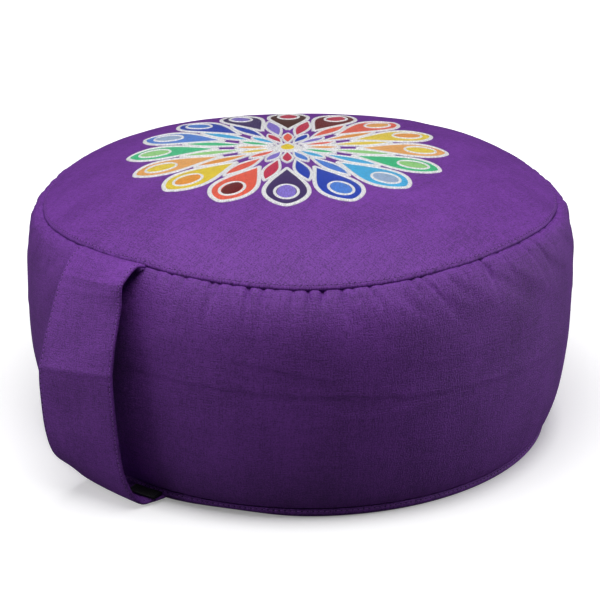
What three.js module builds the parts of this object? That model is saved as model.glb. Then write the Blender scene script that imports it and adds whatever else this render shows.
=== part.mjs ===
// Zafu meditation cushion: a round filled cushion with a crowned top panel, a gathered side band,
// a turned-up bottom panel, a hand strap sewn into both seams, and a small folded side label.
// Millimetres, +Z up. The origin is the centre of the resting face, and the strap is on the -Y side.
import * as THREE from 'three';

// Driving dimensions
const TOP_SEAM_RADIUS = 153;
const TOP_SEAM_HEIGHT = 140.2;
const CROWN_RISE = 25.8;
const CROWN_POWER = 3.7;
const BOTTOM_SEAM_RADIUS = 151;
const BOTTOM_SEAM_HEIGHT = 6.2;
const FLOOR_RADIUS = 147.4;
const SHEET = 2;
const GAP = 0.3;
const SEGMENTS = 128;

// The top seam rises and sags four times round. Each seam is lower on one side. Where the bottom
// seam is higher, the bottom panel is rounder, and reaches the floor nearer the axis.
const TOP_SEAM_WAVE = 2.4;
const TOP_SEAM_LEAN = 2.1;
const TOP_SEAM_LOW_SIDE = THREE.MathUtils.degToRad(21);
const BOTTOM_SEAM_LEAN = 2.8;
const BOTTOM_SEAM_LOW_SIDE = THREE.MathUtils.degToRad(131);
const FLOOR_PULL_IN = 0.9;

// Side of the cushion: share of the height from the bottom seam to the top seam, and radius there
const SIDE_PROFILE = [
  { share: 1.00, radius: TOP_SEAM_RADIUS + GAP },
  { share: 0.97, radius: 158.2 },
  { share: 0.93, radius: 160.8 },
  { share: 0.80, radius: 163.6 },
  { share: 0.60, radius: 164.9 },
  { share: 0.40, radius: 164.8 },
  { share: 0.20, radius: 161.2 },
  { share: 0.07, radius: 156.1 },
  { share: 0.00, radius: BOTTOM_SEAM_RADIUS },
];
const SIDE_SHARES = [
  0.97, 0.94, 0.90, 0.84, 0.76, 0.67, 0.62, 0.58, 0.54, 0.50, 0.46, 0.38, 0.30, 0.25, 0.20, 0.13, 0.07, 0.03,
];

// Gathers under the top seam: a fold at every second vertex, deepest just below the seam
const PLEAT_DEPTH = 1.1;
const PLEAT_LENGTH_SHARE = 0.15;
const SMOOTH_UNDER_STRAP = 25;

// Soft creases in the side: share of height at their middle, fall in share per radian, depth (a ridge
// where it is negative), width as a share of height, and where they lie
const CREASES = [
  { share: 0.54, fall: 0.065, depth: 0.8, width: 0.035, angle: THREE.MathUtils.degToRad(50), spread: 0.75 },
  { share: 0.64, fall: 0.230, depth: 0.5, width: 0.030, angle: THREE.MathUtils.degToRad(40), spread: 0.18 },
  { share: 0.46, fall: 0.050, depth: -0.6, width: 0.030, angle: THREE.MathUtils.degToRad(54), spread: 0.25 },
  { share: 0.26, fall: 0.100, depth: 0.5, width: 0.050, angle: THREE.MathUtils.degToRad(42), spread: 0.45 },
  { share: 0.55, fall: 0.040, depth: 0.9, width: 0.060, angle: THREE.MathUtils.degToRad(150), spread: 0.60 },
  { share: 0.50, fall: -0.050, depth: 0.9, width: 0.050, angle: THREE.MathUtils.degToRad(235), spread: 0.50 },
];
const FILLING_LUMP = 0.7;

// Shares of the top seam's radius at which the crown has a ring, and angles of the bottom turn-up
const CROWN_RINGS = [0.32, 0.52, 0.67, 0.79, 0.88, 0.95];
const TURN_UP_STEPS = [0, 0.35, 0.7, 1];

// Hand strap: distance from the axis and height at its right and left edges, from the top seam
// down to its return into the bottom seam, and how far its middle stands out past its edges
const STRAP_WIDTH = 49;
const STRAP_THICKNESS = 2.4;
const STRAP_ACROSS = 6;
const STRAP_ALONG = 42;
const STRAP_PATH = [
  { rightOut: 152.9, rightHeight: 141.6, leftOut: 152.9, leftHeight: 141.5, bow: 2.0 },
  { rightOut: 159.4, rightHeight: 141.0, leftOut: 159.6, leftHeight: 137.4, bow: 1.6 },
  { rightOut: 165.6, rightHeight: 137.4, leftOut: 165.4, leftHeight: 130.8, bow: 1.0 },
  { rightOut: 170.2, rightHeight: 132.4, leftOut: 170.2, leftHeight: 123.6, bow: 0.6 },
  { rightOut: 171.2, rightHeight: 123.0, leftOut: 174.6, leftHeight: 115.0, bow: 0.4 },
  { rightOut: 174.6, rightHeight: 109.5, leftOut: 179.9, leftHeight: 102.0, bow: 0.4 },
  { rightOut: 178.0, rightHeight: 95.0, leftOut: 184.6, leftHeight: 90.0, bow: 0.4 },
  { rightOut: 179.8, rightHeight: 82.0, leftOut: 187.2, leftHeight: 78.5, bow: 0.5 },
  { rightOut: 178.6, rightHeight: 62.0, leftOut: 186.2, leftHeight: 60.0, bow: 0.6 },
  { rightOut: 177.0, rightHeight: 42.0, leftOut: 184.2, leftHeight: 40.5, bow: 0.6 },
  { rightOut: 173.6, rightHeight: 25.5, leftOut: 179.8, leftHeight: 24.5, bow: 0.6 },
  { rightOut: 167.4, rightHeight: 11.0, leftOut: 171.6, leftHeight: 10.5, bow: 0.8 },
  { rightOut: 160.6, rightHeight: 2.2, leftOut: 163.0, leftHeight: 2.3, bow: 1.2 },
  { rightOut: 155.0, rightHeight: 2.2, leftOut: 155.4, leftHeight: 2.2, bow: 1.6 },
  { rightOut: 149.9, rightHeight: 6.0, leftOut: 149.9, leftHeight: 6.0, bow: 2.0 },
];

// Side label: a folded tab in the bottom seam beside the strap's middle, tilted down a little
const LABEL_WIDTH = 15;
const LABEL_REACH = 8.5;
const LABEL_THICKNESS = 1.4;
const LABEL_ANGLE = THREE.MathUtils.degToRad(6.6);
const LABEL_TILT = THREE.MathUtils.degToRad(10);

// Colours
const PURPLE = 0x4b2370;
const STRAP_PURPLE = 0x431f66;
const BLACK = 0x141214;

// Angles are measured from the strap's side, turning towards +X
function placed(angle, radius, height) {
  return new THREE.Vector3(radius * Math.sin(angle), -radius * Math.cos(angle), height);
}

function topSeamHeight(angle) {
  const wave = TOP_SEAM_WAVE * Math.cos(4 * angle);
  return TOP_SEAM_HEIGHT + wave - TOP_SEAM_LEAN * Math.cos(angle - TOP_SEAM_LOW_SIDE);
}

function bottomSeamHeight(angle) {
  return BOTTOM_SEAM_HEIGHT - BOTTOM_SEAM_LEAN * Math.cos(angle - BOTTOM_SEAM_LOW_SIDE);
}

function floorRadius(angle) {
  return FLOOR_RADIUS - FLOOR_PULL_IN * (bottomSeamHeight(angle) - BOTTOM_SEAM_HEIGHT);
}

// A ring of points around the axis, from a function of the angle that gives [radius, height]
function ring(shape) {
  return Array.from({ length: SEGMENTS }, (unused, step) => {
    const angle = (step / SEGMENTS) * 2 * Math.PI;
    const [radius, height] = shape(angle, step);
    return placed(angle, radius, height);
  });
}

// A closed solid around the axis: from the top point over the rings to the bottom point
function turned(topHeight, rings, bottomHeight) {
  const points = [new THREE.Vector3(0, 0, topHeight), ...rings.flat(), new THREE.Vector3(0, 0, bottomHeight)];
  const last = points.length - 1;
  const at = (row, step) => 1 + row * SEGMENTS + (step % SEGMENTS);
  const faces = [];
  for (let step = 0; step < SEGMENTS; step += 1) {
    faces.push(0, at(0, step), at(0, step + 1));
    for (let row = 0; row < rings.length - 1; row += 1) {
      faces.push(at(row, step), at(row + 1, step), at(row + 1, step + 1));
      faces.push(at(row, step), at(row + 1, step + 1), at(row, step + 1));
    }
    faces.push(last, at(rings.length - 1, step + 1), at(rings.length - 1, step));
  }
  return indexed(points, faces);
}

function indexed(points, faces) {
  const geometry = new THREE.BufferGeometry().setFromPoints(points);
  geometry.setIndex(faces);
  geometry.computeVertexNormals();
  return geometry;
}

// The crown at a share of the seam's radius, sunk by a depth measured square to its surface
function crownRing(share, depth) {
  const slope = (CROWN_RISE * CROWN_POWER * share ** (CROWN_POWER - 1)) / TOP_SEAM_RADIUS;
  const drop = depth * Math.hypot(1, slope);
  return ring((angle) => {
    const seam = topSeamHeight(angle);
    const rise = TOP_SEAM_HEIGHT + CROWN_RISE - seam;
    return [share * TOP_SEAM_RADIUS, seam + rise * (1 - share ** CROWN_POWER) - drop];
  });
}

// The bottom turn-up at a step from the floor (0) to the seam (1), moved inwards by a depth
function turnUpRing(step, inset, lift) {
  const turn = (step * Math.PI) / 2;
  const end = BOTTOM_SEAM_RADIUS - inset;
  return ring((angle) => {
    const start = floorRadius(angle) - inset / 2;
    const reach = (end - start) * Math.sin(turn);
    const climb = bottomSeamHeight(angle) - Math.min(lift, SHEET);
    return [start + reach, lift + climb * (1 - Math.cos(turn))];
  });
}

function topPanel() {
  const outer = [...CROWN_RINGS, 1].map((share) => crownRing(share, 0));
  const inner = [1, ...CROWN_RINGS.toReversed()].map((share) => crownRing(share, SHEET));
  const top = TOP_SEAM_HEIGHT + CROWN_RISE;
  return turned(top, [...outer, ...inner], top - SHEET);
}

function bottomPanel() {
  const inner = TURN_UP_STEPS.map((step) => turnUpRing(step, SHEET, SHEET));
  const outer = TURN_UP_STEPS.toReversed().map((step) => turnUpRing(step, 0, 0));
  return turned(SHEET, [...inner, ...outer], 0);
}

// How far a gather stands out: it alternates from vertex to vertex, no two are quite alike, and the
// band lies smooth under the strap
function pleat(share, step, angle) {
  const below = (1 - share) / PLEAT_LENGTH_SHARE;
  if (below >= 1) {
    return 0;
  }
  const uneven = 0.6 + 0.3 * Math.sin(2.3 * step) + 0.2 * Math.sin(5.1 * step + 1);
  const clearOfStrap = 1 - Math.exp(-SMOOTH_UNDER_STRAP * (1 - Math.cos(angle)));
  const side = step % 2 === 0 ? 1 : -1;
  return side * PLEAT_DEPTH * uneven * clearOfStrap * Math.sin(Math.PI * Math.sqrt(below));
}

function creaseDepth(share, angle) {
  return CREASES.reduce((sum, crease) => {
    const away = Math.atan2(Math.sin(angle - crease.angle), Math.cos(angle - crease.angle));
    const along = Math.exp(-((away / crease.spread) ** 4));
    const line = crease.share - crease.fall * away + 0.008 * Math.sin(7 * angle);
    const across = Math.exp(-(((share - line) / crease.width) ** 2));
    return sum + crease.depth * along * across;
  }, 0);
}

function fillingLump(share, angle) {
  const wave = Math.sin(5 * angle + 9 * share) + Math.sin(8 * angle - 6 * share + 2);
  return 0.5 * FILLING_LUMP * wave * Math.sin(Math.PI * share);
}

const sideCurve = new THREE.SplineCurve(
  SIDE_PROFILE.map((row) => new THREE.Vector2(row.radius, row.share)),
);

// Radius of the smooth side at a share of its height, found on the profile's curve
function sideRadius(share) {
  let high = 0;
  let low = 1;
  for (let pass = 0; pass < 30; pass += 1) {
    const middle = (high + low) / 2;
    if (sideCurve.getPoint(middle).y > share) {
      high = middle;
    } else {
      low = middle;
    }
  }
  return sideCurve.getPoint((high + low) / 2).x;
}

function sideRing(share) {
  const smooth = sideRadius(share);
  return ring((angle, step) => {
    const top = topSeamHeight(angle);
    const bottom = bottomSeamHeight(angle) + GAP;
    const radius = smooth + pleat(share, step, angle) + fillingLump(share, angle) - creaseDepth(share, angle);
    return [radius, bottom + (top - bottom) * share];
  });
}

// The filled body: its crown lies under the top panel in a shallow recess, its side is the band,
// and its foot lies in the turned-up bottom panel
function sideBand() {
  const recess = (TOP_SEAM_RADIUS + GAP) / TOP_SEAM_RADIUS;
  const crown = [...CROWN_RINGS, recess].map((share) => crownRing(share, SHEET + GAP));
  const seamEdge = ring((angle) => [TOP_SEAM_RADIUS + GAP, topSeamHeight(angle)]);
  const side = SIDE_SHARES.map((share) => sideRing(share));
  const foot = ring((angle) => [BOTTOM_SEAM_RADIUS, bottomSeamHeight(angle) + GAP]);
  const under = TURN_UP_STEPS.toReversed().map((step) => turnUpRing(step, SHEET + GAP, SHEET + GAP));
  const top = TOP_SEAM_HEIGHT + CROWN_RISE - SHEET - GAP;
  return turned(top, [...crown, seamEdge, ...side, foot, ...under], SHEET + GAP);
}

// The strap's two edge lines, and between them a surface whose middle is bowed out
const rightEdge = new THREE.CatmullRomCurve3(
  STRAP_PATH.map((row) => new THREE.Vector3(STRAP_WIDTH / 2, -row.rightOut, row.rightHeight)),
);
const leftEdge = new THREE.CatmullRomCurve3(
  STRAP_PATH.map((row) => new THREE.Vector3(-STRAP_WIDTH / 2, -row.leftOut, row.leftHeight)),
);

function strapBow(along) {
  const place = along * (STRAP_PATH.length - 1);
  const row = Math.min(Math.floor(place), STRAP_PATH.length - 2);
  return THREE.MathUtils.lerp(STRAP_PATH[row].bow, STRAP_PATH[row + 1].bow, place - row);
}

function strapPoint(along, across, side) {
  const left = leftEdge.getPoint(along);
  const right = rightEdge.getPoint(along);
  const point = left.clone().lerp(right, across);
  const acrossWay = right.clone().sub(left).normalize();
  const alongWay = leftEdge.getTangent(along).lerp(rightEdge.getTangent(along), across).normalize();
  const outward = new THREE.Vector3().crossVectors(acrossWay, alongWay.negate()).normalize();
  point.y -= strapBow(along) * (1 - (2 * across - 1) ** 2);
  return point.addScaledVector(outward, side * (STRAP_THICKNESS / 2));
}

// A closed band: an outer and an inner grid of points, joined along the edges and at both ends
function handleStrap() {
  const points = [];
  const around = 2 * (STRAP_ACROSS + 1);
  for (let row = 0; row <= STRAP_ALONG; row += 1) {
    for (let cell = 0; cell <= STRAP_ACROSS; cell += 1) {
      points.push(strapPoint(row / STRAP_ALONG, cell / STRAP_ACROSS, 1));
    }
    for (let cell = STRAP_ACROSS; cell >= 0; cell -= 1) {
      points.push(strapPoint(row / STRAP_ALONG, cell / STRAP_ACROSS, -1));
    }
  }
  const at = (row, cell) => row * around + (cell % around);
  const faces = [];
  for (let row = 0; row < STRAP_ALONG; row += 1) {
    for (let cell = 0; cell < around; cell += 1) {
      faces.push(at(row, cell), at(row + 1, cell), at(row + 1, cell + 1));
      faces.push(at(row, cell), at(row + 1, cell + 1), at(row, cell + 1));
    }
  }
  for (let cell = 0; cell < STRAP_ACROSS; cell += 1) {
    const back = around - 1 - cell;
    faces.push(at(0, cell), at(0, cell + 1), at(0, back - 1));
    faces.push(at(0, cell), at(0, back - 1), at(0, back));
    faces.push(at(STRAP_ALONG, cell), at(STRAP_ALONG, back), at(STRAP_ALONG, back - 1));
    faces.push(at(STRAP_ALONG, cell), at(STRAP_ALONG, back - 1), at(STRAP_ALONG, cell + 1));
  }
  return indexed(points, faces);
}

// The label's section: square where it is sewn in, round where it is folded over
function sideLabel() {
  const half = LABEL_THICKNESS / 2;
  const section = new THREE.Shape();
  section.moveTo(0, -half);
  section.lineTo(LABEL_REACH - half, -half);
  section.absarc(LABEL_REACH - half, 0, half, -Math.PI / 2, Math.PI / 2, false);
  section.lineTo(0, half);
  section.closePath();
  return new THREE.ExtrudeGeometry(section, { depth: LABEL_WIDTH, bevelEnabled: false, curveSegments: 4 });
}

function cloth(color) {
  return new THREE.MeshStandardMaterial({ color, roughness: 0.92, metalness: 0 });
}

function piece(name, geometry, color) {
  const mesh = new THREE.Mesh(geometry, cloth(color));
  mesh.name = name;
  return mesh;
}

const cushion = new THREE.Group();
cushion.add(piece('top_panel', topPanel(), PURPLE));
cushion.add(piece('side_band', sideBand(), PURPLE));
cushion.add(piece('bottom_panel', bottomPanel(), PURPLE));
cushion.add(piece('handle_strap', handleStrap(), STRAP_PURPLE));

// The label's section lies in the X-Z plane, and its group turns it out to its place on the seam
const label = piece('side_label', sideLabel(), BLACK);
label.rotation.set(Math.PI / 2, 0, 0);
label.position.set(0, LABEL_WIDTH / 2, 0);
const labelTilt = new THREE.Group();
labelTilt.rotation.y = LABEL_TILT;
labelTilt.add(label);
const labelPlace = new THREE.Group();
labelPlace.rotation.z = LABEL_ANGLE - Math.PI / 2;
labelPlace.position.copy(placed(LABEL_ANGLE, BOTTOM_SEAM_RADIUS + 3 * GAP, bottomSeamHeight(LABEL_ANGLE) + 2 * GAP));
labelPlace.add(labelTilt);
cushion.add(labelPlace);

export default cushion;
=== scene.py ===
"""A zafu meditation cushion: crowned top panel with a stitched rosette, gathered side band,
turned-up base, hand strap and side label, on a pale floor in soft light."""
import math

import bpy
import numpy as np
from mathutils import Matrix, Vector


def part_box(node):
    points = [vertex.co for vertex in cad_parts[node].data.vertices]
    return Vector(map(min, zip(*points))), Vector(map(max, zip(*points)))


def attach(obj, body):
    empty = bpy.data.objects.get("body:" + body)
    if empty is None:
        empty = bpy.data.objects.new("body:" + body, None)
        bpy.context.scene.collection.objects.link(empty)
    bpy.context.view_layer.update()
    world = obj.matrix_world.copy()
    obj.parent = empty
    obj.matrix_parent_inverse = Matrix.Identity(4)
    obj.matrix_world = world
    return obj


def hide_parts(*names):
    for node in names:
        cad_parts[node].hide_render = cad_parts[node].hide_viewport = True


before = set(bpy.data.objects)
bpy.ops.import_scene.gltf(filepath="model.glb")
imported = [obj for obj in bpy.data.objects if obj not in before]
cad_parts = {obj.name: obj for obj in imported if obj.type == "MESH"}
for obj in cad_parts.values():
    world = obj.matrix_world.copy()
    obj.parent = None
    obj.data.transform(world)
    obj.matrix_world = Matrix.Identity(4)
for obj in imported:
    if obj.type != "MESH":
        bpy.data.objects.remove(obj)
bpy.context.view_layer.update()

# Sizes are in millimetres, and meshes are made in metres
MM = 0.001
TAU = 2 * math.pi

# Sizes that the frame gives
TOP_SEAM_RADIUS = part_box("top_panel")[1].x / MM
CROWN_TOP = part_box("top_panel")[1].z / MM
BOTTOM_SEAM_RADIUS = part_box("bottom_panel")[1].x / MM

# Sizes that the solids were worked out from
TOP_SEAM_HEIGHT = 140.2
TOP_SEAM_WAVE = 2.4
TOP_SEAM_LEAN = 2.1
TOP_SEAM_LOW_SIDE = math.radians(21)
CROWN_POWER = 3.7
BOTTOM_SEAM_HEIGHT = 6.2
BOTTOM_SEAM_LEAN = 2.8
BOTTOM_SEAM_LOW_SIDE = math.radians(131)
FLOOR_RADIUS = 147.6
FLOOR_PULL_IN = 1.5
SHEET = 2

# The base is drawn in a little beside the strap: how far, where, and over what spread
BASE_DENT = 6.0
BASE_DENT_ANGLE = math.radians(26)
BASE_DENT_SPREAD = math.radians(9)

# Side of the cushion: share of the height from the bottom seam to the top seam, and radius
SIDE_PROFILE = np.array([
    (1.00, 153.0), (0.97, 158.2), (0.93, 160.8), (0.80, 163.6), (0.60, 164.9),
    (0.40, 164.8), (0.20, 161.2), (0.07, 156.1), (0.00, 151.0),
])

# The shoulder slopes more gently on the side that faces the camera
FRONT_PROFILE = np.array([
    (1.00, 153.0), (0.97, 156.1), (0.944, 158.5), (0.92, 160.4), (0.89, 162.2), (0.85, 163.9),
    (0.80, 165.2), (0.72, 166.2), (0.60, 166.2), (0.40, 165.0), (0.20, 161.2), (0.07, 156.1), (0.00, 151.0),
])

# Hand strap sizes
STRAP_WIDTH = 49
STRAP_THICKNESS = 2.3
STRAP_EDGE_ROUND = 1.3
STRAP_STITCH_INSET = 1.5

# Under the cushion's edge the strap turns towards +X: how far, the distances from the axis between
# which the turn builds up, and the height under which the path belongs to that end
STRAP_DRIFT = 4.2
STRAP_DRIFT_START = 162
STRAP_DRIFT_FULL = 148
STRAP_LOWER_END = 60

# Path of the strap from the top seam to the bottom seam: distance from the axis and height at its
# right edge, the same at its left edge, and bow of the middle
STRAP_PATH = np.array([
    (152.9, 139.4, 152.9, 139.0, 2.0),
    (155.8, 140.5, 155.8, 139.2, 1.9),
    (159.6, 140.6, 159.8, 137.1, 1.6),
    (165.6, 137.4, 165.4, 130.8, 1.0),
    (170.2, 132.4, 170.2, 123.6, 0.6),
    (171.2, 123.0, 174.6, 115.0, 0.4),
    (174.6, 109.5, 179.9, 102.0, 0.4),
    (178.0, 95.0, 184.6, 90.0, 0.4),
    (179.8, 82.0, 188.0, 78.5, 0.5),
    (178.6, 62.0, 187.8, 60.0, 0.6),
    (177.0, 42.0, 186.2, 41.0, 0.6),
    (174.0, 25.0, 181.0, 26.0, 0.6),
    (168.2, 10.6, 169.2, 13.4, 0.8),
    (161.8, 3.2, 160.2, 4.0, 1.2),
    (155.0, 2.4, 155.4, 1.6, 1.6),
    (147.4, 2.8, 147.8, 3.0, 2.0),
])

# Soft folds across the strap: share of its length, slant, height and width
STRAP_FOLDS = [
    (0.244, 0.012, 0.28, 0.010),
    (0.277, 0.012, -0.20, 0.014),
    (0.521, -0.004, 0.40, 0.010),
]

# Points round the panels, round the side band and along a seam's stitches
AROUND = 640
BAND_AROUND = 860
SEAM_AROUND = 1440

# The camera stands 41 degrees round from the strap, as in the photograph
CAMERA_AZIMUTH = math.radians(40.8)
CAMERA_ELEVATION = math.radians(20.9)
CAMERA_DISTANCE = 1018
CAMERA_TARGET = 76.5
CAMERA_LENS = 99.5
CAMERA_SENSOR = 36
CAMERA_SHIFT = (0.0, -0.018)


def ring_noise(angle, seed, lowest, highest):
    """Periodic noise: sine waves round the cushion with seeded amplitudes and phases."""
    rng = np.random.default_rng(seed)
    total = np.zeros_like(angle)
    for waves in range(lowest, highest + 1):
        total += rng.normal() * np.sin(waves * angle + rng.uniform(0, TAU))
    return total / math.sqrt(highest - lowest + 1)


def smooth_line(points, count):
    """A Catmull-Rom curve through the rows of points, as count rows."""
    points = np.asarray(points, float)
    padded = np.vstack([2 * points[0] - points[1], points, 2 * points[-1] - points[-2]])
    place = np.linspace(0, len(points) - 1 - 1e-9, count)
    row = place.astype(int)
    t = (place - row)[:, None]
    a, b, c, d = (padded[row + k] for k in range(4))
    bend = (2 * a - 5 * b + 4 * c - d) * t**2
    twist = (3 * b - a - 3 * c + d) * t**3
    return 0.5 * (2 * b + (c - a) * t + bend + twist)


def top_seam_height(angle):
    wave = TOP_SEAM_WAVE * np.cos(4 * angle)
    return TOP_SEAM_HEIGHT + wave - TOP_SEAM_LEAN * np.cos(angle - TOP_SEAM_LOW_SIDE)


def bottom_seam_height(angle):
    return BOTTOM_SEAM_HEIGHT - BOTTOM_SEAM_LEAN * np.cos(angle - BOTTOM_SEAM_LOW_SIDE)


def floor_radius(angle):
    plain = FLOOR_RADIUS - FLOOR_PULL_IN * (bottom_seam_height(angle) - BOTTOM_SEAM_HEIGHT)
    return plain - BASE_DENT * np.exp(-(((angle - BASE_DENT_ANGLE) / BASE_DENT_SPREAD) ** 2))


def placed(angle, radius, height):
    """Points in space: angles turn from the strap's side towards +X."""
    angle, radius, height = np.broadcast_arrays(angle, radius, height)
    return np.stack([radius * np.sin(angle), -radius * np.cos(angle), height], -1)


# Mesh building
def make_object(name, points, faces, loop_uvs):
    """An object that rides with the part, from points and loop UVs in millimetres."""
    mesh = bpy.data.meshes.new(name)
    mesh.from_pydata((np.asarray(points) * MM).tolist(), [], faces)
    layer = mesh.uv_layers.new(name="UVMap")
    layer.data.foreach_set("uv", np.asarray(loop_uvs, np.float32).ravel())
    mesh.polygons.foreach_set("use_smooth", [True] * len(mesh.polygons))
    mesh.update()
    piece = bpy.data.objects.new(name, mesh)
    bpy.context.scene.collection.objects.link(piece)
    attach(piece, "root")
    return piece


def turned(name, rings, top, bottom, unroll=160.0):
    """A closed solid from rings of points, with UVs in millimetres round and down the surface."""
    rings = np.asarray(rings)
    rows, cols, _ = rings.shape
    points = np.vstack([rings.reshape(-1, 3), [[0, 0, top], [0, 0, bottom]]])
    down = lengths_along(rings)[:, 0]
    across = unroll * TAU / cols
    faces = []
    uvs = []
    for row in range(rows - 1):
        here, below = row * cols, (row + 1) * cols
        for col in range(cols):
            nxt = (col + 1) % cols
            faces.append((here + col, below + col, below + nxt, here + nxt))
            u, u2 = col * across, (col + 1) * across
            v, v2 = -down[row], -down[row + 1]
            uvs += [(u, v), (u, v2), (u2, v2), (u2, v)]
    peak, pit = rows * cols, rows * cols + 1
    last = (rows - 1) * cols
    for col in range(cols):
        nxt = (col + 1) % cols
        faces.append((peak, col, nxt))
        faces.append((pit, last + nxt, last + col))
        u, u2 = col * across, (col + 1) * across
        uvs += [(u, 0), (u, 0), (u2, 0), (u, -down[-1]), (u2, -down[-1]), (u, -down[-1])]
    return make_object(name, points, faces, uvs)


def planar_uvs(piece):
    """UVs in millimetres straight from above, for the flat-cut panels."""
    mesh = piece.data
    layer = mesh.uv_layers[0]
    for loop in mesh.loops:
        place = mesh.vertices[loop.vertex_index].co
        layer.data[loop.index].uv = (place.x / MM, place.y / MM)


def strip_faces(rows, cols):
    """Faces of a closed tube of rows of points, each row a loop of cols points."""
    faces = []
    for row in range(rows - 1):
        here, below = row * cols, (row + 1) * cols
        for col in range(cols):
            nxt = (col + 1) % cols
            faces.append((here + col, below + col, below + nxt, here + nxt))
    last = (rows - 1) * cols
    for col in range(cols // 2 - 1):
        back = cols - 1 - col
        faces.append((col, col + 1, back - 1, back))
        faces.append((last + col, last + back, last + back - 1, last + col + 1))
    return faces


def sheet_parts(outer, inner, u, v):
    """A closed sheet between an outer and an inner grid: points, faces and UVs in millimetres."""
    loops = np.concatenate([outer, inner[:, ::-1]], axis=1)
    rows, cols, _ = loops.shape
    faces = strip_faces(rows, cols)
    u_grid = np.concatenate([u, u[:, ::-1]], axis=1).ravel()
    v_grid = np.concatenate([v, v[:, ::-1]], axis=1).ravel()
    corner = np.array(faces).ravel()
    return loops.reshape(-1, 3), faces, np.stack([u_grid[corner], v_grid[corner]], -1)


def lengths_along(points):
    """Distance along each column of a grid of points, row by row."""
    steps = np.linalg.norm(np.diff(points, axis=0), axis=-1)
    return np.concatenate([np.zeros((1, *steps.shape[1:])), np.cumsum(steps, axis=0)])


def thick_sheet(name, middle, normals, half):
    """A sheet that reaches half its thickness out on both sides of its middle surface."""
    v = -lengths_along(middle)
    u = lengths_along(np.swapaxes(middle, 0, 1)).T
    outer = middle + normals * half[..., None]
    inner = middle - normals * half[..., None]
    return make_object(name, *sheet_parts(outer, inner, u, v))


class Gathered:
    """Many small closed shapes that become one object, with a material number for each."""

    def __init__(self):
        self.points = []
        self.faces = []
        self.uvs = []
        self.numbers = []
        self.count = 0

    def add(self, points, faces, uvs, number=0):
        self.points.append(points)
        self.faces += [tuple(self.count + k for k in face) for face in faces]
        self.uvs.append(uvs)
        self.numbers += [number] * len(faces)
        self.count += len(points)

    def build(self, name, materials):
        piece = make_object(name, np.vstack(self.points), self.faces, np.vstack(self.uvs))
        for material in materials:
            piece.data.materials.append(material)
        piece.data.polygons.foreach_set("material_index", self.numbers)
        return piece


def stitch_row(name, places, alongs, outs, length, thick, material):
    """Short round-ended stitches, each lying along its own direction on the cloth."""
    rings, sides = 5, 6
    turn = np.linspace(0, math.pi, rings)
    around = np.linspace(0, TAU, sides, endpoint=False)
    girth = 0.5 * thick * np.maximum(np.sin(turn), 0.12)[:, None] ** 0.6
    lengthwise = np.broadcast_to(-0.5 * length * np.cos(turn)[:, None], (rings, sides))
    shape = np.stack([lengthwise, girth * np.cos(around), girth * np.sin(around)], -1).reshape(-1, 3)
    faces = strip_faces(rings, sides)
    corner = np.array(faces).ravel()
    uvs = np.stack([shape[corner, 0], corner % sides * 0.3], -1)
    row = Gathered()
    for place, along, out in zip(places, alongs, outs):
        along = along / np.linalg.norm(along)
        side = np.cross(out, along)
        side /= np.linalg.norm(side)
        row.add(place + shape @ np.stack([along, side, np.cross(along, side)]), faces, uvs)
    return row.build(name, [material])


def stitches_along(path, outs, pitch, start):
    """Evenly spaced places on an open or closed path, with directions along it and out of the cloth.

    The first place lies at the start, a share of the pitch, from the path's beginning.
    """
    run = np.concatenate([[0], np.cumsum(np.linalg.norm(np.diff(path, axis=0), axis=1))])
    count = int(run[-1] / pitch)
    centre = (np.arange(count) + start) * run[-1] / count

    def at(distance, values):
        return np.stack([np.interp(distance, run, values[:, k]) for k in range(3)], -1)

    step = 0.3 * pitch
    return at(centre, path), at(centre + step, path) - at(centre - step, path), at(centre, outs)


# Materials
def new_material(name):
    material = bpy.data.materials.new(name)
    material.use_nodes = True
    nodes = material.node_tree.nodes
    shader = nodes["Principled BSDF"]
    return material, nodes, material.node_tree.links, shader


def math_node(nodes, links, operation, first, second=None):
    node = nodes.new("ShaderNodeMath")
    node.operation = operation
    for socket, value in zip(node.inputs, (first, second)):
        if value is None:
            continue
        if hasattr(value, "is_linked"):
            links.new(value, socket)
        else:
            socket.default_value = value
    return node.outputs[0]


def stretched_noise(nodes, links, uv, scale, detail=2.0):
    """Noise on the cloth's own coordinates, with its own size along each thread direction."""
    mapping = nodes.new("ShaderNodeMapping")
    mapping.inputs["Scale"].default_value = (scale[0], scale[1], 1)
    links.new(uv, mapping.inputs["Vector"])
    noise = nodes.new("ShaderNodeTexNoise")
    noise.inputs["Scale"].default_value = 1.0
    noise.inputs["Detail"].default_value = detail
    links.new(mapping.outputs[0], noise.inputs["Vector"])
    return noise.outputs["Fac"]


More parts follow.
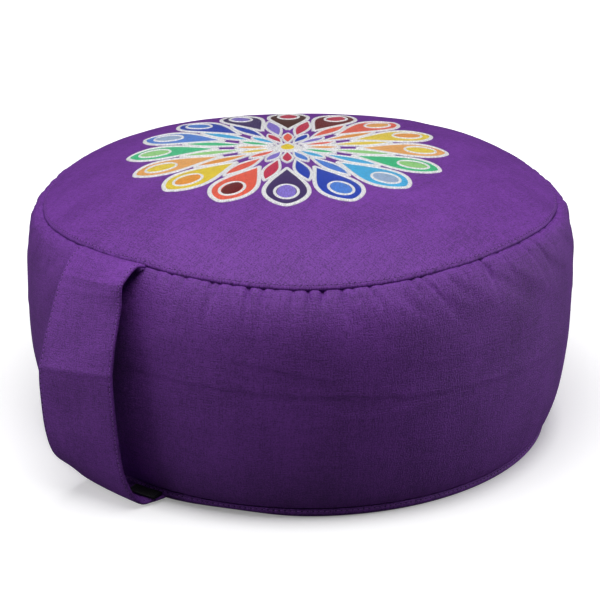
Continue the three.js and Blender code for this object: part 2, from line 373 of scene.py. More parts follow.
def cotton(name, dark, light, pitch=0.62):
    """Plain-weave cotton: fine grain, threads both ways, cloudy colour and an over-and-under relief."""
    material, nodes, links, shader = new_material(name)
    uv_node = nodes.new("ShaderNodeUVMap")
    uv_node.uv_map = "UVMap"
    uv = uv_node.outputs[0]
    parts = [
        (1.8, stretched_noise(nodes, links, uv, (1.25, 1.25))),
        (0.8, stretched_noise(nodes, links, uv, (1.3, 0.20))),
        (0.8, stretched_noise(nodes, links, uv, (0.20, 1.3))),
        (0.3, stretched_noise(nodes, links, uv, (0.32, 0.03))),
        (0.3, stretched_noise(nodes, links, uv, (0.03, 0.32))),
        (0.6, stretched_noise(nodes, links, uv, (0.035, 0.02), 3.0)),
    ]
    tones = None
    for weight, part in parts:
        share = math_node(nodes, links, "MULTIPLY", part, weight / sum(w for w, _ in parts))
        tones = share if tones is None else math_node(nodes, links, "ADD", tones, share)
    ramp = nodes.new("ShaderNodeValToRGB")
    ramp.color_ramp.elements[0].position = 0.43
    ramp.color_ramp.elements[0].color = (*dark, 1)
    ramp.color_ramp.elements[1].position = 0.57
    ramp.color_ramp.elements[1].color = (*light, 1)
    links.new(tones, ramp.inputs[0])
    links.new(ramp.outputs[0], shader.inputs["Base Color"])
    split = nodes.new("ShaderNodeSeparateXYZ")
    links.new(uv, split.inputs[0])
    waves = [
        math_node(nodes, links, "SINE", math_node(nodes, links, "MULTIPLY", split.outputs[k], TAU / pitch))
        for k in (0, 1)
    ]
    weave = math_node(nodes, links, "MULTIPLY", math_node(nodes, links, "MULTIPLY", *waves), 0.25)
    height = math_node(nodes, links, "ADD", weave, math_node(nodes, links, "MULTIPLY", tones, 9.0))
    bump = nodes.new("ShaderNodeBump")
    bump.inputs["Strength"].default_value = 0.8
    bump.inputs["Distance"].default_value = 0.00016
    links.new(height, bump.inputs["Height"])
    links.new(bump.outputs[0], shader.inputs["Normal"])
    shader.inputs["Roughness"].default_value = 0.60
    shader.inputs["Specular IOR Level"].default_value = 0.31
    return material


def thread(name, colour, pitch=0.42, sheen=0.3):
    """Embroidery thread: fine parallel strands across the stitch, with small glints and a silky gloss."""
    material, nodes, links, shader = new_material(name)
    uv_node = nodes.new("ShaderNodeUVMap")
    uv_node.uv_map = "UVMap"
    uv = uv_node.outputs[0]
    split = nodes.new("ShaderNodeSeparateXYZ")
    links.new(uv, split.inputs[0])
    turns = math_node(nodes, links, "MULTIPLY", split.outputs[0], TAU / pitch)
    strand = math_node(nodes, links, "SINE", turns)
    strands = stretched_noise(nodes, links, uv, (2.2, 0.25))
    glints = stretched_noise(nodes, links, uv, (1.3, 1.3))
    lay = math_node(nodes, links, "MULTIPLY", math_node(nodes, links, "ADD", strands, glints), 0.5)
    height = math_node(nodes, links, "ADD", strand, math_node(nodes, links, "MULTIPLY", lay, 2.0))
    bump = nodes.new("ShaderNodeBump")
    bump.inputs["Strength"].default_value = 0.5
    bump.inputs["Distance"].default_value = 0.0001
    links.new(height, bump.inputs["Height"])
    links.new(bump.outputs[0], shader.inputs["Normal"])
    ramp = nodes.new("ShaderNodeValToRGB")
    ramp.color_ramp.elements[0].position = 0.40
    ramp.color_ramp.elements[0].color = (*[0.64 * c for c in colour], 1)
    ramp.color_ramp.elements[1].position = 0.60
    ramp.color_ramp.elements[1].color = (*[min(1.0, 1.14 * c) for c in colour], 1)
    links.new(lay, ramp.inputs[0])
    links.new(ramp.outputs[0], shader.inputs["Base Color"])
    shader.inputs["Roughness"].default_value = 0.5
    shader.inputs["Specular IOR Level"].default_value = 0.35
    shader.inputs["Sheen Weight"].default_value = sheen
    shader.inputs["Sheen Roughness"].default_value = 0.35
    return material


PURPLE_DARK = (0.103, 0.0250, 0.194)
PURPLE_LIGHT = (0.217, 0.0530, 0.408)
SEAM_PURPLE = (0.29, 0.095, 0.49)
# Near-black purple for the dots of painted shade in the gaps between stitches
STITCH_SHADE_PURPLE = (0.022, 0.006, 0.040)
LABEL_AND_PAINTED_SHADE_BLACK = (0.012, 0.011, 0.013)

# The strap's colour is a little lighter than the rest: painted light for the extra light that falls on it
# from the left
STRAP_PAINTED_LIGHT = 1.05
STRAP_TONES = [[STRAP_PAINTED_LIGHT * c for c in tone] for tone in (PURPLE_DARK, PURPLE_LIGHT)]

panel_cotton = cotton("PanelCotton", PURPLE_DARK, PURPLE_LIGHT)
band_cotton = cotton("BandCotton", PURPLE_DARK, PURPLE_LIGHT)
strap_cotton = cotton("StrapCotton", *STRAP_TONES)
seam_thread = thread("SeamThread", SEAM_PURPLE, sheen=0.0)
# Dark dots of painted shade that sit between the stitches
stitch_gap_shade = thread("StitchGapShade", STITCH_SHADE_PURPLE, sheen=0.0)


# Top panel
STITCH_IN_FROM_SEAM = 1.3


def crown_height(share, angle):
    seam = top_seam_height(angle)
    return seam + (CROWN_TOP - seam) * (1 - share**CROWN_POWER)


def top_relief(share, angle):
    """Small unevenness of the stuffed top: soft swells, puckers, drags and the stitched rim at the seam."""
    inward = (1 - share) * TOP_SEAM_RADIUS
    swell = 0.35 * ring_noise(angle, 11, 2, 6) * np.sin(math.pi * np.clip(share, 0, 1)) ** 2
    pucker = 0.10 * ring_noise(angle, 12, 50, 100) * np.exp(-inward / 6)
    drag = 0.28 * ring_noise(angle, 13, 14, 30) * np.exp(-(((inward - 12) / 18) ** 2))
    groove = 0.22 * np.exp(-(((inward - STITCH_IN_FROM_SEAM) / 0.5) ** 2))
    rim = -1.8 * np.exp(-inward / 0.5)
    return swell + pucker + drag - groove + rim


def top_surface(x, y):
    """Height of the finished top panel at a place seen from above."""
    share = np.hypot(x, y) / TOP_SEAM_RADIUS
    angle = np.arctan2(x, -y)
    return crown_height(share, angle) + top_relief(share, angle)


def top_panel():
    angle = np.linspace(0, TAU, AROUND, endpoint=False)
    shares = np.concatenate([np.linspace(0.012, 0.94, 78), np.linspace(0.944, 0.999, 44)])
    outer = [
        placed(angle, share * TOP_SEAM_RADIUS, crown_height(share, angle) + top_relief(share, angle))
        for share in shares
    ]
    under = [
        placed(angle, share * TOP_SEAM_RADIUS, crown_height(share, angle) - 2.2 * SHEET)
        for share in (0.99, 0.95, 0.85, 0.6, 0.3)
    ]
    panel = turned("TopPanel", [*outer, *under], CROWN_TOP, CROWN_TOP - SHEET)
    planar_uvs(panel)
    panel.data.materials.append(panel_cotton)
    return panel


# Side band
SIDE_HEIGHT = TOP_SEAM_HEIGHT - BOTTOM_SEAM_HEIGHT
BAND_FLOOR = 2.6
side_line = smooth_line(SIDE_PROFILE[::-1], 400)
front_line = smooth_line(FRONT_PROFILE[::-1], 400)

# Gathers: least and greatest spacing, width and length
TUCK_SPACING = (4.0, 10.5)
TUCK_WIDTH = (0.9, 1.5)
TUCK_LENGTH = (5, 17)
TUCK_SEED = 5

# Puffed cloth between the gathers: size, seed, fewest and most waves round the cushion, and how far
# below the seam it is strongest, with its spread
PUFFS = [
    (0.30, 21, 18, 32, 16, 20),
    (0.16, 24, 34, 60, 10, 12),
    (0.12, 26, 62, 104, 9, 10),
]


def side_radius(share, angle):
    """Radius of the smooth side, with the gentler shoulder at the front."""
    share = np.clip(share, 0, 1)
    front = np.clip(np.cos(angle - CAMERA_AZIMUTH), 0, 1) ** 1.2
    plain = np.interp(share, side_line[:, 0], side_line[:, 1])
    gentle = np.interp(share, front_line[:, 0], front_line[:, 1])
    return plain + (gentle - plain) * front


def side_base(share, angle):
    """Radius, height and outward direction of the smooth side."""
    radius = side_radius(share, angle)
    top, bottom = top_seam_height(angle), bottom_seam_height(angle)
    step = 0.004
    ahead = side_radius(share + step, angle)
    behind = side_radius(share - step, angle)
    run = np.clip(share + step, 0, 1) - np.clip(share - step, 0, 1)
    slope = (ahead - behind) / (run * (top - bottom))
    length = np.hypot(1, slope)
    return radius, bottom + (top - bottom) * share, 1 / length, -slope / length


def make_tucks(seed):
    """Gathers under the top seam: angle, depth, width, length and lean of each.

    They are shallow beside the strap and deepest on the side that faces the camera.
    """
    rng = np.random.default_rng(seed)
    tucks = []
    angle = 0.0
    while angle < TAU - 0.02:
        angle += rng.uniform(*TUCK_SPACING) / TOP_SEAM_RADIUS
        near_strap = math.exp(-(((angle + math.pi) % TAU - math.pi) / 0.22) ** 2)
        facing = 0.75 + 0.95 * math.exp(-(((angle - 0.60) / 0.45) ** 2))
        depth = min(rng.gamma(2.4, 0.36), 1.5) * facing * (1 - 0.8 * near_strap)
        lean = 0.5 * math.sin(angle - 0.5) + 0.2 * rng.normal()
        tucks.append((angle, depth, rng.uniform(*TUCK_WIDTH), rng.uniform(*TUCK_LENGTH), lean))
    return tucks


TUCKS = make_tucks(TUCK_SEED)


def tuck_relief(angle, below):
    """Sum of the gathers: narrow troughs at the seam that widen and fade down the side."""
    total = np.zeros(np.broadcast(angle, below).shape)
    for centre, depth, width, length, lean in TUCKS:
        away = (angle - centre + math.pi) % TAU - math.pi
        across = away * TOP_SEAM_RADIUS - lean * below
        steep = 0.75 + 0.45 * np.tanh(across / width) * np.sign(lean)
        spread = (width + 0.07 * below) * steep
        start = 0.8 + 0.2 * (1 - np.exp(-below / 2.0))
        total -= depth * start * np.exp(-(across / spread) ** 2) * np.exp(-(below / length) ** 1.5)
        total -= 0.55 * depth * np.exp(-(across / 1.2) ** 2) * np.exp(-((below - 3) / 5) ** 2)
    return total


# Creases of the side: line of (degrees round from the strap, height), how far the cloth folds over
# (below zero where the upper side hangs over, which draws a dark line) and how soft the fold is
CREASES = [
    (
        [(4, 85), (18, 83.5), (31, 81), (41, 79.5), (52, 78.5), (64, 75), (75, 74), (89, 71.5), (112, 70)],
        -0.36, 0.9,
    ),
    ([(26, 99), (33, 96.5), (38, 93), (43, 90), (50, 87)], -0.36, 0.9),
    ([(58, 95), (66, 92.5), (75, 94), (84, 97)], -0.30, 1.0),
    ([(41, 78), (45, 72.5), (52, 67), (58, 69), (66, 71.5), (80, 75), (92, 82)], 0.28, 1.0),
    ([(18, 58), (24, 56), (33, 54)], -0.24, 1.2),
    ([(20, 42), (28, 43), (37, 40.5)], 0.30, 1.0),
    ([(48, 37), (61, 34.5), (72, 36)], -0.24, 1.2),
    ([(118, 88), (140, 84), (165, 86), (190, 82), (214, 84)], -0.45, 0.8),
    ([(150, 62), (172, 58), (188, 60)], 0.34, 0.9),
    ([(228, 80), (250, 84), (275, 79), (300, 82), (332, 80)], -0.45, 0.8),
    ([(262, 58), (285, 54), (305, 57)], 0.32, 0.9),
]


def crease_relief(angle, height):
    """Sum of the creases: each is a step across its line, and fades out at both ends."""
    total = np.zeros(np.broadcast(angle, height).shape)
    degrees = np.degrees(angle) % 360
    for line, fold, softness in CREASES:
        bends = np.array(line, float)
        path = smooth_line(bends, 60)
        centre = np.interp(degrees, path[:, 0], path[:, 1]) + 0.5 * np.sin(0.9 * degrees)
        ends = np.clip((degrees - bends[0, 0]) / 7, 0, 1) * np.clip((bends[-1, 0] - degrees) / 7, 0, 1)
        over = (height - centre) * (1 if fold < 0 else -1)
        swell = 0.5 * (1 + np.tanh(over / softness)) * np.exp(-np.clip(over, 0, None) / 7)
        total += abs(fold) * ends * swell
    return total


def side_relief(share, angle, height):
    """How far the cloth stands out: puffs between the gathers, lumps, puckers and the turned-in lips."""
    below = (1 - share) * SIDE_HEIGHT
    above = share * SIDE_HEIGHT
    swing = angle - 0.0028 * below * math.pi * np.sin(angle - 0.4)
    puff = np.zeros_like(swing)
    for size, seed, fewest, most, strongest, spread in PUFFS:
        puff += size * ring_noise(swing, seed, fewest, most) * np.exp(-((below - strongest) / spread) ** 2)
    lump = 0.45 * ring_noise(angle + 0.004 * height, 22, 3, 9) * np.sin(math.pi * share)
    waist = np.sin(2.4 * math.pi * share) * np.sin(math.pi * share)
    lump += 0.25 * ring_noise(angle - 0.012 * height, 23, 6, 16) * waist
    pucker = 0.10 * ring_noise(angle, 25, 60, 120) * np.exp(-above / 6)
    lips = -3.0 * np.exp(-below / 1.2) - 0.5 * np.exp(-above / 0.5)
    return puff + lump + pucker + lips + tuck_relief(angle, below) + crease_relief(angle, height)


def side_band():
    angle = np.linspace(0, TAU, BAND_AROUND, endpoint=False)
    shares = np.concatenate([
        np.linspace(1, 0.975, 8), np.linspace(0.968, 0.80, 28), np.linspace(0.788, 0.70, 7),
        np.linspace(0.69, 0.43, 36), np.linspace(0.417, 0.30, 7), np.linspace(0.285, 0.06, 12),
        np.linspace(0.05, 0.0, 9),
    ])
    rings = [
        placed(angle, share * TOP_SEAM_RADIUS, crown_height(share, angle) - 4.5 * SHEET)
        for share in (0.4, 0.8, 0.97)
    ]
    for share in shares:
        radius, height, out, up = side_base(share, angle)
        relief = side_relief(share, angle, height)
        rings.append(placed(angle, radius + relief * out, height + relief * up))
    foot = bottom_seam_height(angle)
    rings.append(placed(angle, BOTTOM_SEAM_RADIUS - 3.2, foot - 0.3))
    rings.append(placed(angle, floor_radius(angle) - 3, BAND_FLOOR))
    band = turned("SideBand", rings, CROWN_TOP - 4 * SHEET, BAND_FLOOR)
    band.data.materials.append(band_cotton)
    return band


# Bottom panel: its rim ends just under the seam
STITCH_BELOW_SEAM = 1.5
RIM_BELOW_SEAM = 0.35


def bottom_ring(angle, step):
    """The outside of the base at a step from the floor (0) to the seam (1)."""
    turn = step * math.pi / 2
    seam = bottom_seam_height(angle)
    start = floor_radius(angle)
    height = (seam - RIM_BELOW_SEAM) * (1 - math.cos(turn))
    radius = start + (BOTTOM_SEAM_RADIUS - start) * math.sin(turn)
    below = seam - height
    rim = 0.35 * np.exp(-(((below - 2.8) / 1.2) ** 2)) - 0.4 * np.exp(-below / 0.4)
    groove = 0.2 * np.exp(-(((below - STITCH_BELOW_SEAM) / 0.5) ** 2))
    pucker = 0.10 * ring_noise(angle, 31, 60, 120) * step
    return placed(angle, radius + rim - groove + pucker, height)


def bottom_panel():
    angle = np.linspace(0, TAU, AROUND, endpoint=False)
    seam = bottom_seam_height(angle)
    rings = []
    for step in (0.0, 0.4, 0.8, 1.0):
        turn = step * math.pi / 2
        start, end = floor_radius(angle) - SHEET / 2, BOTTOM_SEAM_RADIUS - SHEET
        climb = (seam - 0.6 - SHEET) * (1 - math.cos(turn))
        rings.append(placed(angle, start + (end - start) * math.sin(turn), SHEET + climb))
    rings += [bottom_ring(angle, step) for step in np.linspace(1, 0, 26)]
    panel = turned("BottomPanel", rings, SHEET, 0)
    planar_uvs(panel)
    panel.data.materials.append(panel_cotton)
    return panel


# Hand strap
def strap_middle(along_count, across):
    """Middle surface of the strap: rows down its length, columns from its left edge to its right."""
    path = smooth_line(STRAP_PATH, along_count)
    right = np.stack([np.full(along_count, STRAP_WIDTH / 2), -path[:, 0], path[:, 1]], -1)
    left = np.stack([np.full(along_count, -STRAP_WIDTH / 2), -path[:, 2], path[:, 3]], -1)
    share = (across + 1) / 2
    middle = left[:, None] * (1 - share)[None, :, None] + right[:, None] * share[None, :, None]
    middle[..., 1] -= path[:, 4][:, None] * (1 - across**2)[None, :]
    inward = (STRAP_DRIFT_START - path[:, 0]) / (STRAP_DRIFT_START - STRAP_DRIFT_FULL)
    drift = STRAP_DRIFT * np.clip(inward, 0, 1) * (path[:, 1] < STRAP_LOWER_END)
    middle[..., 0] += drift[:, None]
    return middle


def grid_normals(middle):
    """Unit normals of a grid of points."""
    down = np.gradient(middle, axis=0)
    side = np.gradient(middle, axis=1)
    normal = np.cross(down, side)
    return normal / np.linalg.norm(normal, axis=-1, keepdims=True)


def handle_strap():
    """The strap, and its middle surface, normals, half thickness and columns for the stitch rows."""
    across = np.sin(np.linspace(-math.pi / 2, math.pi / 2, 66))
    across = 0.6 * across + 0.4 * np.linspace(-1, 1, 66)
    middle = strap_middle(280, across)
    normals = grid_normals(middle)
    edge = (1 - np.abs(across)) * STRAP_WIDTH / 2
    rounding = 1 - (1 - np.clip(edge / STRAP_EDGE_ROUND, 0, 1)) ** 2
    half = 0.5 * STRAP_THICKNESS * np.sqrt(np.clip(rounding, 0.02, 1))
    half = half - 0.42 * np.exp(-((edge - STRAP_STITCH_INSET) / 0.5) ** 2)
    half = np.broadcast_to(half, middle.shape[:2]).copy()
    rows = np.linspace(0, 1, middle.shape[0])[:, None]
    ripple = np.zeros(middle.shape[:2])
    for place, slant, height, width in STRAP_FOLDS:
        ripple += height * np.exp(-((rows - place - slant * across) / width) ** 2)
    ripple += 0.18 * np.sin(40 * rows + 3 * across) * np.sin(math.pi * rows)
    middle = middle + normals * (ripple * np.sin(math.pi * rows) ** 0.2)[..., None]
    strap = thick_sheet("HandleStrap", middle, normals, half)
    strap.data.materials.append(strap_cotton)
    return strap, (middle, normals, half, across)


# Side label: a black tape, made wider than the real label so that its black also stands as painted shade in
# the hollow under the strap's end
LABEL_WIDTH = 18.5
LABEL_REACH = 8.6
LABEL_ANGLE = math.radians(6.8)
LABEL_TILT = math.radians(1)
LABEL_FOLD_RADIUS = 0.42
LABEL_HALF_TAPE = 0.24
LABEL_HEIGHT = 4.9
LABEL_SEWN_IN = 1.6


def side_label():
    """A tape folded over on itself: out along the lower layer, round the fold, and back."""
    fold = LABEL_FOLD_RADIUS
    straight = LABEL_REACH - fold
    lower = [(out, -fold) for out in np.linspace(0, straight, 12)]
    turns = np.linspace(-math.pi / 2, math.pi / 2, 9)[1:-1]
    bend = [(straight + fold * math.cos(turn), fold * math.sin(turn)) for turn in turns]
    upper = [(out, fold) for out in np.linspace(straight, 0, 12)]
    steps = np.array([*lower, *bend, *upper])
    cols = np.linspace(-LABEL_WIDTH / 2, LABEL_WIDTH / 2, 17)
    out = steps[:, 0] * math.cos(LABEL_TILT) + steps[:, 1] * math.sin(LABEL_TILT)
    rise = -steps[:, 0] * math.sin(LABEL_TILT) + steps[:, 1] * math.cos(LABEL_TILT)
    root = BOTTOM_SEAM_RADIUS - LABEL_SEWN_IN
    radial = np.array([math.sin(LABEL_ANGLE), -math.cos(LABEL_ANGLE), 0])
    sideways = np.array([math.cos(LABEL_ANGLE), math.sin(LABEL_ANGLE), 0])
    middle = radial * (root + out)[:, None, None] + sideways * cols[None, :, None]
    middle = middle + np.array([0, 0, 1]) * (LABEL_HEIGHT + rise)[:, None, None]
    half = np.full(middle.shape[:2], LABEL_HALF_TAPE)
    return thick_sheet("SideLabelAndPaintedShade", middle, grid_normals(middle), half)


# Rosette stitched on the top: a ring of round-tipped petals with eyes, a ring of leaves between
# them, a ring of small petals and a domed middle. All of it is worked out from the numbers here.
PETALS = 16
ROSETTE_CENTRE = (-6.3, -4.1)

# Outline of each ring's petals: start and end radius, greatest half width, roundness of the sides,
# and how far out along the petal it is widest
OUTER = (41.0, 95.0, 12.6, 0.62, 1.75)
LEAF = (25.0, 64.0, 4.4, 0.95, 1.15)
INNER = (9.5, 31.0, 3.3, 0.80, 1.25)

# Ovals: distance from the centre, and half sizes along the petal and across it
EYE = (79.0, 9.2, 6.6)
MIDDLE = (0.0, 9.6, 9.6)
MIDDLE_DOT = (0.0, 5.2, 5.2)

# How far the filling stands up from the cloth, and how deep it goes in
OUTER_LIFT = 0.35
EYE_LIFT = 0.6
LEAF_LIFT = 0.55
INNER_LIFT = 0.7
MIDDLE_LIFT = 0.75
DOT_LIFT = 1.15
STITCHED_IN = 0.5

# How much higher a border stands than its filling, and how wide it is
PETAL_BORDER_LIFT = 0.35
OVAL_BORDER_LIFT = 0.3
OUTER_BORDER = 2.6
EYE_BORDER = 1.9
LEAF_BORDER = 1.9
INNER_BORDER = 1.5
NO_BORDER = 0


def linear(colour):
    """A colour that is given as screen values from 0 to 255, as light."""
    shares = [value / 255 for value in colour]
    return tuple(c / 12.92 if c <= 0.04045 else ((c + 0.055) / 1.055) ** 2.4 for c in shares)


THREAD_COLOURS = {
    "White": (246, 246, 251), "Violet": (66, 44, 104), "Lilac": (138, 118, 214), "Royal": (30, 66, 186),
    "Cornflower": (78, 134, 226), "Sky": (66, 182, 238), "Mist": (160, 184, 218), "Green": (44, 198, 132),
    "Lime": (150, 218, 128), "Apricot": (250, 172, 88), "Yellow": (242, 212, 52), "Orange": (250, 158, 58),
    "Coral": (244, 98, 76), "Crimson": (206, 50, 84), "Maroon": (112, 20, 28), "Rust": (78, 30, 24),
}
THREAD_NAMES = list(THREAD_COLOURS)
threads = [thread("Thread" + name, linear(colour)) for name, colour in THREAD_COLOURS.items()]

# Colours round the rosette from the petal that faces the camera, turning to its right
OUTER_COLOURS = [
    "Violet", "Royal", "Sky", "Green", "Apricot", "Yellow", "Coral", "Maroon",
    "Rust", "Violet", "Royal", "Cornflower", "Green", "Apricot", "Yellow", "Coral",
]
EYE_COLOURS = [
    "Lilac", "Cornflower", "Mist", "Lime", "Yellow", "Orange", "Apricot", "Crimson",
    "Crimson", "Lilac", "Cornflower", "Mist", "Lime", "Yellow", "Orange", "Maroon",
]
LEAF_COLOURS = [
    "Royal", "Cornflower", "Sky", "Lime", "Yellow", "Orange", "Coral", "Crimson",
    "Lilac", "Royal", "Sky", "Green", "Lime", "Orange", "Coral", "Crimson",
]
INNER_COLOURS = [
    "Crimson", "Cornflower", "Sky", "Green", "Orange", "Coral", "Lilac", "Royal",
    "Coral", "Crimson", "Sky", "Green", "Apricot", "Yellow", "Coral", "Lilac",
]


def rosette_grid(across, along, turn, lift):
    """Points on the cloth: along runs out from the rosette's centre at a turn from the camera's side."""
    rightward = along * math.sin(turn) + across * math.cos(turn)
    toward = along * math.cos(turn) - across * math.sin(turn)
    x = ROSETTE_CENTRE[0] + rightward * math.cos(CAMERA_AZIMUTH) + toward * math.sin(CAMERA_AZIMUTH)
    y = ROSETTE_CENTRE[1] + rightward * math.sin(CAMERA_AZIMUTH) - toward * math.cos(CAMERA_AZIMUTH)
    return np.stack([x, y, top_surface(x, y) + lift], -1)


def add_fill(shapes, across, along, turn, lift, number):
    """Filling stitches: a low pad between the cloth and its domed top."""
    side = np.linspace(-1, 1, across.shape[1])
    dome = (1 - np.abs(side) ** 4)[None, :] * np.ones_like(across)
    outer = rosette_grid(across, along, turn, lift * dome)
    inner = rosette_grid(across, along, turn, np.full_like(across, -STITCHED_IN))
    shapes.add(*sheet_parts(outer, inner, across, along), number)


def add_border(shapes, path, turn, lift, width, closed=False):
    """A satin-stitched border along a path of (across, along) points."""
    if closed:
        ahead, behind = np.roll(path, -1, axis=0), np.roll(path, 1, axis=0)
    else:
        ahead = np.vstack([path[1:], 2 * path[-1] - path[-2]])
        behind = np.vstack([2 * path[0] - path[1], path[:-1]])
    way = ahead - behind
    way /= np.linalg.norm(way, axis=1, keepdims=True)
    normal = np.stack([way[:, 1], -way[:, 0]], -1)
    if closed:
        path, normal = np.vstack([path, path[:1]]), np.vstack([normal, normal[:1]])
    offsets = np.array([-1.0, -0.82, -0.4, 0.0, 0.4, 0.82, 1.0]) * width / 2
    rise = np.array([0.0, 0.62, 0.92, 1.0, 0.92, 0.62, 0.0]) * lift
    grid = path[:, None] + normal[:, None] * offsets[None, :, None]
    run = lengths_along(path[:, None])[:, 0]
    u = run[:, None] + 0 * offsets[None, :]
    v = 0 * run[:, None] + offsets[None, :]
    outer = rosette_grid(grid[..., 0], grid[..., 1], turn, rise[None, :])
    inner = rosette_grid(grid[..., 0], grid[..., 1], turn, np.full(grid.shape[:2], -STITCHED_IN))
    shapes.add(*sheet_parts(outer, inner, u, v), 0)


def add_petal(shapes, shape, turn, lift, number, width, rows=26, cols=11):
    """A petal of filling stitches, with a border of the given width round its sides and tip."""
    start, end, widest, roundness, reach = shape
    share = 0.5 - 0.5 * np.cos(np.linspace(0.04, math.pi - 0.03, rows))
    half = widest * np.sin(math.pi * share**reach) ** roundness
    along = start + (end - start) * share
    side = np.linspace(-1, 1, cols)
    add_fill(shapes, half[:, None] * side, along[:, None] + 0 * side, turn, lift, number)
    rim = np.stack([half, along], -1)
    path = np.vstack([rim, [[0, end]], rim[::-1] * (-1, 1)])
    add_border(shapes, path, turn, lift + PETAL_BORDER_LIFT, width)


def add_oval(shapes, oval, turn, lift, number, width):
    """An oval of filling stitches, with a border of the given width where that isn't 0."""
    place, long, wide = oval
    angle = np.linspace(0, TAU, 28, endpoint=False)
    if width:
        path = np.stack([wide * np.sin(angle), place + long * np.cos(angle)], -1)
        add_border(shapes, path, turn, lift + OVAL_BORDER_LIFT, width, True)
    steps = np.linspace(0.03, math.pi - 0.03, 13)
    side = np.linspace(-1, 1, 9)
    across = wide * np.sin(steps)[:, None] * side
    along = place - long * np.cos(steps)[:, None] + 0 * side
    add_fill(shapes, across, along, turn, lift, number)


def rosette():
    shapes = Gathered()
    rings = (OUTER_COLOURS, EYE_COLOURS, LEAF_COLOURS, INNER_COLOURS)
    for index in range(PETALS):
        turn = index * TAU / PETALS
        between = turn + math.pi / PETALS
        outer, eye, leaf, inner = (THREAD_NAMES.index(colours[index]) for colours in rings)
        add_petal(shapes, OUTER, turn, OUTER_LIFT, outer, OUTER_BORDER)
        add_oval(shapes, EYE, turn, EYE_LIFT, eye, EYE_BORDER)
        add_petal(shapes, LEAF, between, LEAF_LIFT, leaf, LEAF_BORDER)
        add_petal(shapes, INNER, turn, INNER_LIFT, inner, INNER_BORDER, rows=16, cols=7)
    add_oval(shapes, MIDDLE, 0.0, MIDDLE_LIFT, THREAD_NAMES.index("White"), NO_BORDER)
    add_oval(shapes, MIDDLE_DOT, 0.0, DOT_LIFT, THREAD_NAMES.index("Yellow"), NO_BORDER)
    return shapes.build("Rosette", threads)


# Stitch rows along the two seams and the strap's edges, with dark dots of painted shade in the gaps between
# the stitches
SEAM_PITCH = 3.1
STRAP_PITCH = 2.9

# Length and thickness of the stitches and of the dark dots of painted shade between them
TOP_STITCH = (1.7, 0.55)
TOP_GAP_SHADE = (0.7, 0.4)
BASE_STITCH = (2.2, 0.68)
BASE_GAP_SHADE = (0.8, 0.5)
STRAP_STITCH = (2.0, 0.55)
STRAP_GAP_SHADE = (0.9, 0.55)

# How far the middle of a stitch stands off the cloth
TOP_STAND_OFF = 0.12
BASE_STAND_OFF = 0.16
STRAP_STAND_OFF = 0.08


def stitched_lines(name, lines, pitch, stitch, shade_dot):
    """Stitches, and dark dots of painted shade between them, along lines of (path, outward directions), as
    two objects.
    """
    rows = []
    # The second kind is the dark dots of painted shade in the gaps between stitches
    for kind, start, size, material in (
        ("Stitches", 0.5, stitch, seam_thread),
        ("GapShades", 0.0, shade_dot, stitch_gap_shade),
    ):
        found = [stitches_along(path, outs, pitch, start) for path, outs in lines]
        places, alongs, outs = (np.vstack(part) for part in zip(*found))
        rows.append(stitch_row(name + kind, places, alongs, outs, *size, material))
    return rows


def seam_stitches():
    angle = np.linspace(0, TAU, SEAM_AROUND)
    radius = TOP_SEAM_RADIUS - STITCH_IN_FROM_SEAM
    x, y = radius * np.sin(angle), -radius * np.cos(angle)
    path = np.stack([x, y, top_surface(x, y) + TOP_STAND_OFF], -1)
    outs = placed(angle, 0.45, 0.9)
    return stitched_lines("TopSeam", [(path, outs)], SEAM_PITCH, TOP_STITCH, TOP_GAP_SHADE)


def base_stitches():
    angle = np.linspace(0, TAU, SEAM_AROUND)
    seam = bottom_seam_height(angle)
    step = np.arccos(1 - (seam - STITCH_BELOW_SEAM) / (seam - RIM_BELOW_SEAM)) / (math.pi / 2)
    path = np.array([bottom_ring(a, s) for a, s in zip(angle, step)])
    path += placed(angle, BASE_STAND_OFF, 0)
    outs = placed(angle, 1, -0.1)
    return stitched_lines("BaseSeam", [(path, outs)], SEAM_PITCH, BASE_STITCH, BASE_GAP_SHADE)


def strap_stitches(middle, normals, half, across):
    """One stitch row along each edge of both faces of the strap."""
    lines = []
    for edge in (-1, 1):
        column = np.argmin(np.abs(across - edge * (1 - 2 * STRAP_STITCH_INSET / STRAP_WIDTH)))
        for face in (-1, 1):
            out = face * normals[:, column]
            path = middle[:, column] + out * (half[:, column] + STRAP_STAND_OFF)[:, None]
            lines.append((path[6:-8], out[6:-8]))
    return stitched_lines("Strap", lines, STRAP_PITCH, STRAP_STITCH, STRAP_GAP_SHADE)


top = top_panel()
band = side_band()
base = bottom_panel()
strap, strap_surface = handle_strap()
label = side_label()
label.data.materials.append(thread("LabelTapeAndPaintedShade", LABEL_AND_PAINTED_SHADE_BLACK, sheen=0.1))
rosette_piece = rosette()
top_stitches = seam_stitches()
base_row = base_stitches()
strap_rows = strap_stitches(*strap_surface)

# Stage and lights are in metres. The floor reaches this far each way, a hair under the base.
FLOOR_REACH = 6
FLOOR_LEVEL = -0.0003

# How bright the camera sees the floor's glow at a distance in metres from its middle: the dim glow near the
# cushion is painted shadow round its base
FLOOR_GLOW_AND_PAINTED_SHADOW = [(0.146, 0.20), (0.164, 0.46), (0.21, 0.51), (0.60, 1.0)]

# Faint even light from all round
AMBIENT = 0.035

# Lights: degrees to the right of the camera, distance, height, height aimed at, size and power
LIGHTS = {
    "OverheadSoftbox": (-12, 0.25, 1.0, 0.1, 0.8, 9.1),
    "RightSoftbox": (91, 1.5, 0.42, 0.08, 0.9, 9.5),
    "LeftSoftbox": (-77, 1.5, 0.38, 0.08, 0.9, 7.1),
}

floor_mesh = bpy.data.meshes.new("Floor")
floor_corners = [
    (FLOOR_REACH * x, FLOOR_REACH * y, FLOOR_LEVEL) for x, y in ((-1, -1), (1, -1), (1, 1), (-1, 1))
]
floor_mesh.from_pydata(floor_corners, [], [(0, 1, 2, 3)])
floor = bpy.data.objects.new("Floor", floor_mesh)
bpy.context.scene.collection.objects.link(floor)


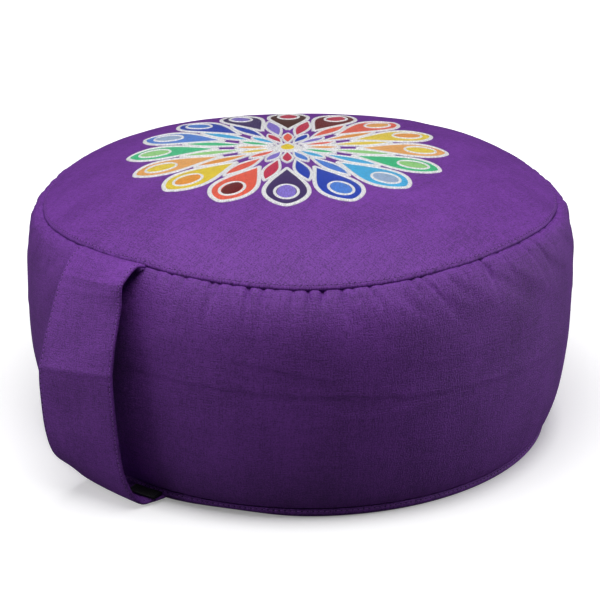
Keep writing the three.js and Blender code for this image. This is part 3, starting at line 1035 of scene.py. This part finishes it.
def floor_material():
    """Pale paper: what the camera sees is near white, with painted shadow where its glow dims round the
    cushion, and it throws little light back up.
    """
    material = bpy.data.materials.new("FloorPaper")
    material.use_nodes = True
    nodes, links = material.node_tree.nodes, material.node_tree.links
    nodes.clear()
    output = nodes.new("ShaderNodeOutputMaterial")
    paper = nodes.new("ShaderNodeBsdfDiffuse")
    paper.inputs["Color"].default_value = (0.80, 0.80, 0.81, 1)
    dim = nodes.new("ShaderNodeBsdfDiffuse")
    dim.inputs["Color"].default_value = (0.16, 0.16, 0.165, 1)
    place = nodes.new("ShaderNodeTexCoord")
    distance = nodes.new("ShaderNodeVectorMath")
    distance.operation = "LENGTH"
    links.new(place.outputs["Object"], distance.inputs[0])
    spread = nodes.new("ShaderNodeValToRGB")
    stops = spread.color_ramp.elements
    while len(stops) < len(FLOOR_GLOW_AND_PAINTED_SHADOW):
        stops.new(0.5)
    for stop, (metres, level) in zip(stops, FLOOR_GLOW_AND_PAINTED_SHADOW):
        stop.position = metres
        stop.color = (level, level, level, 1)
    links.new(distance.outputs["Value"], spread.inputs[0])
    glow = nodes.new("ShaderNodeEmission")
    links.new(spread.outputs[0], glow.inputs["Strength"])
    seen = nodes.new("ShaderNodeAddShader")
    links.new(paper.outputs[0], seen.inputs[0])
    links.new(glow.outputs[0], seen.inputs[1])
    path = nodes.new("ShaderNodeLightPath")
    mix = nodes.new("ShaderNodeMixShader")
    links.new(path.outputs["Is Camera Ray"], mix.inputs[0])
    links.new(dim.outputs[0], mix.inputs[1])
    links.new(seen.outputs[0], mix.inputs[2])
    links.new(mix.outputs[0], output.inputs[0])
    return material


floor.data.materials.append(floor_material())


def studio_world():
    """White where the camera sees it, and a faint even light on everything else."""
    world = bpy.data.worlds.new("StudioWorld")
    world.use_nodes = True
    nodes, links = world.node_tree.nodes, world.node_tree.links
    backdrop = nodes["Background"]
    backdrop.inputs["Color"].default_value = (1, 1, 1, 1)
    backdrop.inputs["Strength"].default_value = 1.0
    ambient = nodes.new("ShaderNodeBackground")
    ambient.inputs["Color"].default_value = (1, 1, 1, 1)
    ambient.inputs["Strength"].default_value = AMBIENT
    ray = nodes.new("ShaderNodeLightPath")
    choice = nodes.new("ShaderNodeMixShader")
    links.new(ray.outputs["Is Camera Ray"], choice.inputs[0])
    links.new(ambient.outputs[0], choice.inputs[1])
    links.new(backdrop.outputs[0], choice.inputs[2])
    links.new(choice.outputs[0], nodes["World Output"].inputs[0])
    return world


bpy.context.scene.world = studio_world()


def around_camera(degrees, distance, height):
    """A place on the floor plan at so many degrees to the right of the camera, in metres."""
    angle = CAMERA_AZIMUTH + math.radians(degrees)
    return (distance * math.sin(angle), -distance * math.cos(angle), height)


def area_light(name, place, aim, size, power):
    data = bpy.data.lights.new(name, "AREA")
    data.shape = "SQUARE"
    data.size = size
    data.energy = power
    lamp = bpy.data.objects.new(name, data)
    lamp.location = place
    lamp.rotation_mode = "QUATERNION"
    lamp.rotation_quaternion = (Vector(aim) - Vector(place)).to_track_quat("-Z", "Y")
    bpy.context.scene.collection.objects.link(lamp)


for name, (degrees, distance, height, aim, size, power) in LIGHTS.items():
    area_light(name, around_camera(degrees, distance, height), (0, 0, aim), size, power)

# Camera
camera_data = bpy.data.cameras.new("Camera")
camera_data.lens = CAMERA_LENS
camera_data.sensor_width = CAMERA_SENSOR
camera_data.shift_x, camera_data.shift_y = CAMERA_SHIFT
camera = bpy.data.objects.new("Camera", camera_data)
back = Vector((
    math.sin(CAMERA_AZIMUTH) * math.cos(CAMERA_ELEVATION),
    -math.cos(CAMERA_AZIMUTH) * math.cos(CAMERA_ELEVATION),
    math.sin(CAMERA_ELEVATION),
))
camera.location = Vector((0, 0, CAMERA_TARGET * MM)) + back * CAMERA_DISTANCE * MM
camera.rotation_mode = "QUATERNION"
camera.rotation_quaternion = (-back).to_track_quat("-Z", "Y")
bpy.context.scene.collection.objects.link(camera)
bpy.context.scene.camera = camera
bpy.context.scene.view_settings.view_transform = "Standard"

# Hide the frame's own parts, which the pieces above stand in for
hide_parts("top_panel")
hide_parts("side_band")
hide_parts("bottom_panel")
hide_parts("handle_strap")
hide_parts("side_label")
